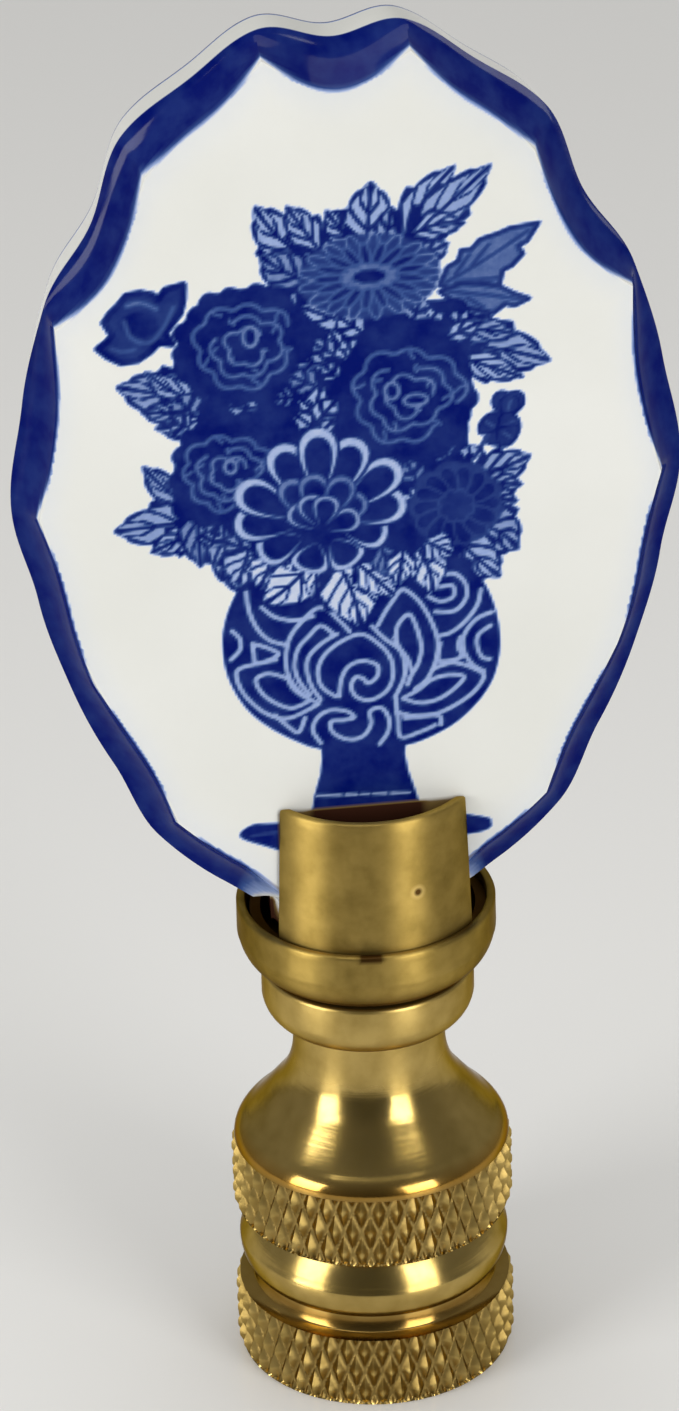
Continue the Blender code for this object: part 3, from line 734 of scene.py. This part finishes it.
def paint_print(picture):
    for row in BACK_LEAVES:
        leaf(picture, placed(*row[:4]), *row[4:])
    smooth_leaf(picture, placed(
        400, 947, 434, 1028, 480, 1052, 494, 1100, 539, 1103, 572, 1142, 650, 1164, 701, 1184, 820,
        1198, 771, 1119, 732, 1101, 753, 1064, 705, 1013, 666, 995, 651, 926, 568, 947, 490, 912,
    ), (placed(426, 959, 583, 1044, 778, 1167), placed(466, 991, 526, 1076),
        placed(537, 1027, 610, 1118), placed(465, 956, 645, 962)))
    smooth_leaf(picture, placed(
        400, 919, 490, 947, 581, 939, 658, 919, 709, 886, 775, 857, 714, 829, 675, 840, 623, 802, 565,
        821, 488, 842,
    ), (placed(438, 916, 592, 889, 753, 854), placed(515, 881, 578, 834)))
    # Buds
    picture.shape(placed(
        -911, 1010, -852, 1018, -803, 1005, -779, 980, -748, 1023, -672, 1040, -675, 972, -690, 913,
        -730, 862, -757, 827, -730, 775, -788, 784, -824, 746, -876, 713, -943, 705, -1000, 738, -1040,
        778, -996, 811, -978, 837, -1009, 895, -982, 934, -947, 967,
    ), 0.93, FULL, 0.3)
    picture.fill(ruffle((-8.59, 8.73), 0.78, 6, 0.06, 0.0, 0.8), FULL, 0.1)
    picture.stroke(curve(placed(-909, 964, -855, 973, -789, 940)), 0.2, 0.62, soft=0.1)
    picture.stroke(curve(placed(
        -925, 892, -900, 817, -830, 788, -769, 842, -718, 939,
    )), 0.16, 0.68, soft=0.1)
    picture.stroke(curve(placed(-982, 773, -941, 756, -890, 761)), 0.16, 0.72, soft=0.1)
    bud(picture, (6.65, 3.15), placed(647, 424, 719, 417, 693, 405), 0.9)
    bud(picture, (6.31, 2.60), placed(573, 308, 710, 296, 630, 195, 696, 211), 1.2)
    picture.stroke(placed(587, 235, 528, 138), 0.2, 0.85)

    # Ground between the flowers, with clusters of leaves on it
    picture.fill(curve(placed(
        -194, 986, 22, 913, 358, 884, 509, 862, 521, 640, 515, 408, 502, 221, 532, 30, 500, -253, 324,
        -406, -65, -442, -364, -367, -546, -111, -627, 180, -635, 470, -564, 539, -234, 797,
    ), closed=True), FULL)
    for *ends, width, tone, veins in CLUSTER_LEAVES:
        leaf(picture, placed(*ends), CLUSTER_GROWTH * width, tone, veins)

    # Flowers
    daisy(picture, (1.06, 10.14), 3.0, 1.95, 17)
    peony(picture, placed(
        -641, 909, -581, 974, -484, 994, -356, 1004, -248, 981, -193, 885, -133, 782, -149, 691, -221,
        648, -270, 567, -324, 494, -467, 478, -594, 531, -629, 598, -717, 648, -720, 719, -686, 772,
        -712, 824,
    ), (-4.33, 7.44), 2.65, 0.3, ((0.3, 0.35, 0.3, 0.45),))
    peony(picture, placed(
        -11, 573, 31, 655, 59, 723, 124, 760, 253, 760, 382, 724, 471, 659, 513, 542, 540, 411, 502,
        329, 487, 244, 394, 180, 237, 172, 107, 205, 44, 276, -39, 319, -28, 432, -62, 506,
    ), (2.45, 4.58), 2.95, 1.0, ((-0.6, 0.2, 0.3, 0.38), (0.4, -0.3, 0.5, 0.26)))
    peony(picture, placed(
        -686, 347, -612, 386, -519, 423, -406, 424, -313, 433, -264, 389, -225, 329, -238, 251, -315,
        132, -393, -21, -466, -49, -550, -70, -643, -74, -744, -24, -758, 126, -731, 260,
    ), (-5.30, 1.63), 2.35, 0.7, ((0.2, 0.2, 0.24, 0.3),))
    picture.fill(ruffle((4.45, -0.73), 2.05, 9, 0.1), 0.9, 0.1)
    for index in range(14):
        angle = 2.0 * math.pi * index / 14.0
        picture.shape(petal_outline((4.45, -0.85), angle, 1.9, 0.8), 0.99, 0.88, 0.12)
    picture.shape(ruffle((4.45, -0.85), 0.8, 8, 0.15), 0.95, 0.86, 0.12)
    paint_vase(picture)

    for row in HANGING_LEAVES:
        leaf(picture, placed(*row[:4]), *row[4:], line=HANGING_LEAF_LINE)

    # The pale-edged flower in front of them all
    outer = placed(
        -206, -345, 3, -323, -410, -237, 149, -180, -504, -75, 228, -33, -486, 84, 202, 141, -309, 266,
        30, 271, -137, 333,
    )
    upper = placed(-285, 95, 53, -4, -171, 119, -17, 94)
    inner = placed(-264, -33, 29, -94, -195, 18, -102, 10)
    rings = ((outer, 1.7, 0.33, 0.24), (upper, 1.3, 0.2, 0.6), (inner, 1.15, 0.1, 0.42))
    mum(picture, (-1.33, -1.48), rings)


# How far out the plaque's edge reaches at a step round its side, as a share of the oval
def reach(step, hollows, lobes, pointed):
    half = step / STEPS_PER_HALF_LOBE
    cell = int(half) // 2
    place = half - 2 * cell
    rising = place <= 1.0
    hollow = hollows[cell] if rising else hollows[min(cell + 1, len(hollows) - 1)]
    lobe = lobes[min(cell, len(lobes) - 1)]
    share = place if rising else 2.0 - place
    blend = share * share if pointed else 0.5 - 0.5 * math.cos(math.pi * share)
    return hollow + (lobe - hollow) * blend


# One side of the outline from top to bottom
def oval_side(half_width, half_height, hollows, lobes, pointed):
    steps = LOBES * STEPS_PER_HALF_LOBE
    side = []
    for step in range(steps + 1):
        angle = math.pi * (0.5 - step / steps)
        scale = reach(step, hollows, lobes, pointed)
        side.append((scale * half_width * math.cos(angle), scale * half_height * math.sin(angle)))
    return side


# The side's outline down to the cut, then along the cut and down the foot, and the same on the other side
def close_outline(side, count, inset):
    cut = CUT_HEIGHT + inset
    before = [point for point in side if point[1] > cut][-1]
    after = [point for point in side if point[1] <= cut][0]
    share = (before[1] - cut) / (before[1] - after[1])
    corner = before[0] + (after[0] - before[0]) * share
    foot = FOOT_HALF_WIDTH - inset
    ends = [(corner + (foot - corner) * share, cut) for share in (0.0, 0.15, 0.3, 0.5, 1.0)]
    kept = side[:count] + ends + [(foot, cut - 0.25), (foot, FOOT_HEIGHT + inset)]
    return kept + [(-across, height) for across, height in reversed(kept[1:])]


# How blue the rim is at a share of the way from the outer edge (0) to the face's edge (1) and beyond
def rim_tone(share, phase, height):
    limit = 1.06 - 0.16 * phase ** 2
    soft = (0.13 - 0.07 * phase) * (0.4 + 0.6 * smoothstep(1.0, 9.0, height))
    return smoothstep(limit + soft, limit - soft, share)


# The blue stops where the rim goes down into the dish
def rim_ends(across, height):
    ends = smoothstep(RIM_END - 0.25, RIM_END + 0.25, np.abs(across))
    return np.where(height > 0.8 * CUT_HEIGHT, 1.0, ends)


# How far into its lobe a step lies: 0 in a hollow, 1 at a lobe's middle
def lobe_phase(step):
    return 1.0 - abs((step / STEPS_PER_HALF_LOBE) % 2.0 - 1.0)


# Triangles of the narrow band between the stepped edge of the face's grid and the rim's last ring
def band_faces(face, verts, number, cell, across_lines, height_lines):
    ring = len(face)
    faces = []
    filled = np.zeros((cell.shape[0] + 2, cell.shape[1] + 2), dtype=bool)
    filled[1:-1, 1:-1] = cell
    border = []
    neighbours = (
        ((0, 1), (0, 0), (0, 1)), ((2, 1), (1, 0), (1, 1)),
        ((1, 0), (0, 0), (1, 0)), ((1, 2), (0, 1), (1, 1)),
    )
    for row, column in np.argwhere(cell):
        for beyond, first, second in neighbours:
            if not filled[row + beyond[0], column + beyond[1]]:
                start = number[row + first[0], column + first[1]]
                border.append((start, number[row + second[0], column + second[1]]))
    ids = sorted({index for pair in border for index in pair})
    place = {index: position + ring for position, index in enumerate(ids)}
    points = [Vector((float(face[index][0]), float(face[index][1]))) for index in range(ring)]
    points += [Vector((float(verts[index][0]), float(verts[index][2]))) for index in ids]
    edges = [(index, (index + 1) % ring) for index in range(ring)]
    edges += [(place[first], place[second]) for first, second in border]
    result = delaunay_2d_cdt(points, edges, [], 0, 1e-6)
    triangles = [[result[3][corner][0] for corner in triangle] for triangle in result[2]]
    flat = np.array([tuple(point) for point in points])
    middles = flat[np.array(triangles)].mean(axis=1)
    outside = polygon_distance(middles[:, 0], middles[:, 1], face) > -1e-6
    for triangle, middle, beyond in zip(triangles, middles, outside):
        row = int((middle[1] - height_lines[0]) // FACE_GRID)
        column = int((middle[0] - across_lines[0]) // FACE_GRID)
        in_grid = 0 <= row < cell.shape[0] and 0 <= column < cell.shape[1] and cell[row, column]
        if not in_grid and not beyond:
            faces.append(tuple(name if name < ring else ids[name - ring] for name in triangle))
    return faces


def build_plaque():
    wall_side = oval_side(HALF_WIDTH, HALF_HEIGHT, RIM_HOLLOWS, RIM_LOBES, False)
    face_side = oval_side(FACE_HALF_WIDTH, FACE_HALF_HEIGHT, FACE_HOLLOWS, FACE_LOBES, True)
    count = len([point for point in wall_side if point[1] > LOWEST_LOBE * HALF_HEIGHT])
    wall = np.array(close_outline(wall_side, count, 0.0))
    face = np.array(close_outline(face_side, count, FACE_CUT_INSET))
    ring = len(wall)
    front = 0.5 * THICKNESS
    phase = [lobe_phase(step) for step in range(count)] + [0.5] * ((ring + 1) // 2 - count)
    phase = np.array(phase + phase[:0:-1])

    # Rings of points from the outer edge to the face's edge, then over the wall to the back
    rows = []
    for turn in np.linspace(0.0, 0.5 * math.pi, 11):
        rows.append((math.cos(turn) ** 1.15, -front + FRONT_BEVEL * math.sin(turn) ** 1.6))
    verts = []
    tones = []
    gloss = []
    for share, depth in rows:
        blend = wall + (face - wall) * share
        verts.extend((across, depth, height) for across, height in blend)
        blue = rim_tone(np.full(ring, share), phase, blend[:, 1])
        tones.extend(blue * rim_ends(blend[:, 0], blend[:, 1]))
        gloss.extend((1.0 - 0.8 * share ** 3) * (0.08 + 0.92 * smoothstep(4.0, 13.0, blend[:, 1])))
    wall_depth = THICKNESS - FRONT_BEVEL - BACK_BEVEL
    back_rows = []
    for share in (0.06, 0.5, 0.9):
        back_rows.append((WALL_DRAFT * share, -front + FRONT_BEVEL + wall_depth * share, 0.0))
    for turn in np.linspace(0.5 * math.pi, 0.0, 8):
        inset = WALL_DRAFT + BACK_BEVEL_SHARE * math.cos(turn) ** 1.3
        back_rows.append((inset, front - BACK_BEVEL * math.sin(turn) ** 1.4, 1.0 if turn > 0.3 else 0.0))
    for inset, depth, tone in back_rows:
        lowered = wall[:, 1] - inset * np.maximum(wall[:, 1], 0.0)
        verts.extend(zip(wall[:, 0] * (1.0 - inset), np.full(ring, depth), lowered))
        tones.extend(np.full(ring, tone) * rim_ends(wall[:, 0], wall[:, 1]))
        gloss.extend(np.ones(ring))
    last_ring = len(verts) - ring
    faces = ring_faces(len(rows) + len(back_rows), ring)
    faces.append(tuple(last_ring + index for index in range(ring)))

    # The flat face: a fine grid that carries the print, and a narrow band that joins it to the rim
    side = np.array(face_side)
    angles = np.arctan2(side[:, 1] / FACE_HALF_HEIGHT, side[:, 0] / FACE_HALF_WIDTH)
    reaches = np.hypot(side[:, 0] / FACE_HALF_WIDTH, side[:, 1] / FACE_HALF_HEIGHT)
    order = np.argsort(angles)
    across_lines = np.arange(-GRID_REACH, GRID_REACH, FACE_GRID)
    height_lines = np.arange(CUT_HEIGHT + FACE_CUT_INSET + 0.08, GRID_TOP, FACE_GRID)
    across, height = np.meshgrid(across_lines, height_lines)
    angle = np.arctan2(height / FACE_HALF_HEIGHT, np.abs(across) / FACE_HALF_WIDTH)
    edge = np.interp(angle, angles[order], reaches[order])
    share = np.hypot(across / FACE_HALF_WIDTH, height / FACE_HALF_HEIGHT) / edge
    inside = share < 0.994
    cell = inside[:-1, :-1] & inside[1:, :-1] & inside[:-1, 1:] & inside[1:, 1:]
    used = np.zeros(inside.shape, dtype=bool)
    for up, along in ((0, 0), (0, 1), (1, 0), (1, 1)):
        used[up:up + cell.shape[0], along:along + cell.shape[1]] |= cell
    number = -np.ones(inside.shape, dtype=int)
    number[used] = np.arange(used.sum()) + len(verts)
    picture = Print(across[used], height[used])
    paint_print(picture)
    side_phases = np.array([lobe_phase(step) for step in range(len(side))])
    phases = np.interp(angle[used], angles[order], side_phases[order])
    rim = rim_tone(1.0 + (1.0 - share[used]) * 11.0, phases, height[used])
    rim = rim * rim_ends(across[used], height[used])
    # Painted shade: a faint grey-blue darkening towards the face's edge
    edge_shade = 0.05 * smoothstep(0.86, 1.0, share[used]) ** 2
    tones.extend(np.maximum(picture.tone, np.maximum(rim, edge_shade)))
    # Behind the cheek: brown painted reflection at the sides, darker painted shade in the middle
    low = smoothstep(REFLECTION_AND_SHADE_TOP, REFLECTION_AND_SHADE_TOP - 0.2, height[used])
    brown = smoothstep(DARK_CORE_REACH + 0.4, DARK_CORE_REACH - 0.2, np.abs(across[used] - 0.2))
    olive = smoothstep(OLIVE_REACH + 0.1, OLIVE_REACH - 0.1, np.abs(across[used] - 0.35))
    stain = low * (0.5 * brown + 0.5 * olive)
    verts.extend(zip(across[used], np.full(used.sum(), -front), height[used]))
    corners = ((0, 0), (0, 1), (1, 1), (1, 0))
    for row, column in np.argwhere(cell):
        faces.append(tuple(number[row + up, column + along] for up, along in corners))
    faces += band_faces(face, verts, number, cell, across_lines, height_lines)

    item = make_mesh_object("porcelain_plaque_finished", np.array(verts) * MM, faces, 40.0)
    edge_heights = np.array([point[2] for point in verts[:len(gloss)]])
    # Painted shade on the foot where it sits in the holder
    foot_stain = smoothstep(CUT_HEIGHT + 0.02, CUT_HEIGHT - 0.2, edge_heights)
    gloss = np.concatenate([gloss, np.zeros(len(verts) - len(gloss))])
    store(item, tone=tones, gloss=gloss, stain=np.concatenate([foot_stain, stain]))
    item.data.materials.append(porcelain_material())
    foot = Matrix.Translation((0.0, 0.0, SLOT_FLOOR * MM))
    lean = Matrix.Rotation(-math.radians(PLAQUE_LEAN), 4, "Y")
    raised = Matrix.Translation((0.0, 0.0, CENTRE_HEIGHT * MM))
    shift = Matrix.Translation((PLAQUE_SHIFT * MM, 0.0, 0.0))
    item.data.transform(shift @ foot @ lean @ foot.inverted() @ raised)
    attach(item, "root")
    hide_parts("porcelain_plaque")


# A smooth bend of a profile; its first point is left out
def bend(start, control, end, steps):
    points = []
    for index in range(1, steps + 1):
        t = index / steps
        near, pull, far = (1 - t) ** 2, 2 * (1 - t) * t, t ** 2
        points.append(tuple(near * a + pull * b + far * c for a, b, c in zip(start, control, end)))
    return points


# Rows of a knurled band, with the band's bottom and top
def knurl_rows(bottom, top):
    rows = []
    steps = int(round((top - bottom) / KNURL_STEP))
    for step in range(steps + 1):
        rows.append((KNURL_RADIUS, bottom + (top - bottom) * step / steps, bottom, top))
    return rows


def build_base():
    # Radius and height from the stud hole's mouth over foot, groove, bead and shoulder to the collar
    rows = [(BORE_RADIUS, 0.0), (6.1, 0.0), (6.2, 0.02)]
    rows += knurl_rows(*LOWER_BAND)
    rows += [(6.2, 3.5), (5.62, 3.56), (5.55, 3.66), (5.42, 4.0), (5.36, 4.25)]
    for step in range(11):
        turn = 0.5 * math.pi * (step / 10 - 1.0)
        rows.append((5.35 + 0.8 * math.cos(turn), 5.75 + 1.4 * math.sin(turn)))
    rows += bend((6.15, 5.75), (6.15, 5.88), (6.08, 6.0), 3)
    rows += bend((6.08, 6.0), (5.743, 6.878), (5.35, 7.3), 9)
    rows += [(5.4, 7.38), (5.6, 7.46), (6.2, 7.54)]
    rows += knurl_rows(*UPPER_BAND)
    rows += [(6.2, 10.98), (6.26, 11.02)]
    rows += bend((6.26, 11.02), (6.26, 11.5), (5.7, 11.95), 10)
    rows += bend((5.7, 11.95), (5.343, 12.294), (4.4, 13.5), 12)
    rows += bend((4.4, 13.5), (3.5, 14.55), (3.44, 16.0), 14)
    rows += [(3.42, 17.0), (3.44, 17.36)]
    rows += bend((3.47, 17.4), (4.63, 17.55), (4.78, 18.55), 9)
    rows += [(4.78, 18.62), (4.78, 19.9), (4.74, 20.02), (4.65, 20.09), (4.55, 20.1), (2.0, 20.1)]
    rows.append((0.02, 20.1))
    verts = []
    grime = []
    satin = []
    tarnish = []
    for row in rows:
        radius, height = row[:2]
        knurled = len(row) == 4
        polished = 0.2 if 4.3 < height < 7.35 else 0.15 * smoothstep(11.6, 12.4, height)
        satin.extend([1.0 if knurled else polished + 0.8 * smoothstep(14.6, 16.0, height)] * COLUMNS)
        # Painted reflection: orange in the fillet over the upper knurl and in the groove under the bead
        fillet = max(0.0, 1.0 - abs(height - 11.3) / 0.6, 1.0 - abs(height - 3.9) / 0.5)
        tarnish.extend([0.75 * fillet] * COLUMNS)
        # Painted shade in the grooves
        shade_value = 0.45 * max(0.0, *(1.0 - abs(height - seam) / reach for seam, reach in SHADED_SEAMS))
        for column in range(COLUMNS):
            if knurled:
                bottom, top = row[2:]
                along = (height - 0.5 * (bottom + top)) / (2.0 * KNURL_ROW_PITCH)
                around = KNURL_COUNT * column / COLUMNS
                first = 1.0 - 2.0 * abs((around + along) % 1.0 - 0.5)
                second = 1.0 - 2.0 * abs((around - along) % 1.0 - 0.5)
                tip = min(min(1.0 - first, 1.0 - second) / 0.85, 1.0) ** 1.4
                rounded = KNURL_RADIUS - 0.16 + 0.9 * min(height - bottom, top - height)
                radius = min(KNURL_RADIUS - KNURL_DEPTH * (1.0 - tip), rounded)
                # Painted shade in the valleys between the knurl's diamonds
                shade_value = 0.5 * (1.0 - tip) ** 1.3
            verts.append(on_circle(radius, height, column, COLUMNS))
            grime.append(shade_value)
    faces = ring_faces(len(rows), COLUMNS)

    # Threaded stud hole: a helical ridge inside a blind bore
    start = len(verts)
    for row in range(BORE_ROWS + 1):
        height = BORE_DEPTH * row / BORE_ROWS
        for column in range(BORE_COLUMNS):
            wave = abs(2.0 * ((height / THREAD_PITCH - column / BORE_COLUMNS) % 1.0) - 1.0)
            mouth = BORE_RADIUS if row == 0 else max(0.0, 0.5 - height)
            radius = min(BORE_RADIUS, THREAD_RADIUS + THREAD_DEPTH * wave + mouth)
            verts.append(on_circle(radius, height, column, BORE_COLUMNS))
            # Painted shade inside the bore
            grime.append(0.3)
    for radius, height in ((2.6, 8.4), (0.02, 9.5)):
        for column in range(BORE_COLUMNS):
            verts.append(on_circle(radius, height, column, BORE_COLUMNS))
            # Darker painted shade at the bore's bottom
            grime.append(0.5)
    faces += ring_faces(BORE_ROWS + 3, BORE_COLUMNS, start, inward=True)
    item = make_mesh_object("knurled_base_finished", np.array(verts) * MM, faces, 50.0)
    rest = [0.0] * (len(verts) - len(satin))
    store(item, grime=grime, satin=satin + rest, tarnish=tarnish + rest)
    item.data.materials.append(brass_material("base_brass_finished", 0.12, 0.2))
    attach(item, "root")
    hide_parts("knurled_base")


# A closed turned solid from its profile of radius and height, from the bottom middle to the top middle
def turned(name, profile, columns=256):
    verts = []
    for radius, height in profile:
        verts.extend(on_circle(radius * MM, height * MM, column, columns) for column in range(columns))
    faces = ring_faces(len(profile), columns)
    faces.append(tuple(range(columns))[::-1])
    faces.append(tuple(len(verts) - columns + column for column in range(columns)))
    return make_mesh_object(name, verts, faces, 40.0)


def build_dish():
    profile = [(0.5, 20.22), (4.35, 20.22), (4.45, 20.24)]
    profile += bend((4.45, 20.24), (5.55, 20.55), (5.76, 21.75), 14)
    profile += [(5.79, 21.82), (5.8, 22.0), (5.79, 22.9), (5.79, 23.05), (5.79, 23.26), (5.755, 23.35)]
    profile += [(5.68, 23.4), (5.47, 23.4), (5.41, 23.36), (5.39, 23.28), (5.39, 22.8), (5.39, 22.25)]
    profile += bend((5.39, 22.25), (5.3, 21.3), (4.45, 20.85), 10)
    profile += [(0.5, 20.85)]
    item = turned("brass_dish_finished", profile)
    # Painted shade under the dish and inside its cup, and a dark dash of painted shade at the front of
    # its inner edge
    shade = []
    for vertex in item.data.vertices:
        radius = math.hypot(vertex.co.x, vertex.co.y) / MM
        height = vertex.co.z / MM
        turn = abs(math.degrees(math.atan2(vertex.co.y, vertex.co.x)) - DASH_TURN)
        below = smoothstep(21.6, 20.4, height) if radius > 4.5 else 1.0
        inner = 0.4 + 0.5 * smoothstep(23.1, 22.3, height) if radius < 5.4 and height < 23.3 else 0.0
        dash = smoothstep(DASH_REACH + 1.2, DASH_REACH - 1.2, turn) * smoothstep(23.1, 23.2, height)
        shade.append(max(0.85 * below, inner, dash))
    store(item, grime=shade, satin=[1.0] * len(shade), tarnish=[0.0] * len(shade))
    item.data.materials.append(brass_material("dish_brass_finished", 0.14, 0.22, True))
    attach(item, "root")
    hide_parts("brass_dish")


def build_holder():
    profile = [(0.5, 21.15), (4.2, 21.15)]
    profile += bend((4.2, 21.15), (5.2, 21.3), (5.25, 22.15), 8)
    profile += [(5.3, 23.4)]
    profile += [(5.3 - 0.18 * step / 12, 23.4 + 6.3 * step / 12) for step in range(1, 12)]
    profile += [(5.12, 29.6)]
    profile += [(5.08, 29.67), (5.02, 29.7), (4.8, 29.7), (4.75, 29.67), (4.73, 29.6)]
    profile += [(4.72 + 0.16 * step / 8, 29.55 - 6.15 * step / 8) for step in range(1, 9)]
    profile += [(4.73, 22.35), (4.6, 22.0), (4.28, 21.85), (0.5, 21.85)]
    item = turned("slotted_holder_finished", profile)
    cutter_mesh = bpy.data.meshes.new("slot_cutter")
    wide = 8.0 * MM
    deep = SLOT_HALF_WIDTH * MM
    corners = []
    for z in (SLOT_FLOOR * MM, 40.0 * MM):
        corners += [(-wide, -deep, z), (wide, -deep, z), (wide, deep, z), (-wide, deep, z)]
    sides = [(index, (index + 1) % 4, (index + 1) % 4 + 4, index + 4) for index in range(4)]
    cutter_mesh.from_pydata(corners, [], [(3, 2, 1, 0), (4, 5, 6, 7)] + sides)
    cutter = add_object("slot_cutter", cutter_mesh)
    # Two slots through the tube's sides, then worn edges
    slots = item.modifiers.new("slots", "BOOLEAN")
    slots.operation = "DIFFERENCE"
    slots.solver = "EXACT"
    slots.object = cutter
    worn = item.modifiers.new("worn_edges", "BEVEL")
    worn.width = 0.09 * MM
    worn.segments = 3
    worn.limit_method = "ANGLE"
    worn.angle_limit = math.radians(50.0)
    graph = bpy.context.evaluated_depsgraph_get()
    finished = bpy.data.meshes.new_from_object(item.evaluated_get(graph))
    finished.transform(Matrix.Translation((HOLDER_SHIFT * MM, 0.0, 0.0)))
    item.modifiers.clear()
    item.data = finished
    bpy.data.objects.remove(cutter, do_unlink=True)
    # Painted shade: darkest low down where the holder sits in the dish, and on the tube's inner wall
    inside = []
    for vertex in finished.vertices:
        radius = math.hypot(vertex.co.x, vertex.co.y) / MM
        low = 0.95 if vertex.co.z < 23.1 * MM else 0.0
        inside.append(max(low, 0.55 if radius < 4.9 and vertex.co.z < 29.4 * MM else 0.0))
    store(item, grime=inside, satin=[1.0] * len(inside), tarnish=[0.0] * len(inside))
    turn = math.radians(PIT_TURN)
    pit = (PIT_RADIUS * MM * math.cos(turn), PIT_RADIUS * MM * math.sin(turn), PIT_HEIGHT * MM)
    item.data.materials.clear()
    item.data.materials.append(brass_material("holder_brass_finished", 0.16, 0.24, True, pit))
    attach(item, "root")
    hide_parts("slotted_holder")


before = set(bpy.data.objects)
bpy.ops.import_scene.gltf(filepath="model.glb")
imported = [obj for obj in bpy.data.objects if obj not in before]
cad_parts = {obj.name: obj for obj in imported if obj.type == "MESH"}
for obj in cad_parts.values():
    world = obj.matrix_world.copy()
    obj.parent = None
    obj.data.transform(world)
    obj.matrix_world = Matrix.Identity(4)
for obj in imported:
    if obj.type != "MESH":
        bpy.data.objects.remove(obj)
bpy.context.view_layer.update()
make_camera()
make_studio()
build_plaque()
build_base()
build_holder()
build_dish()
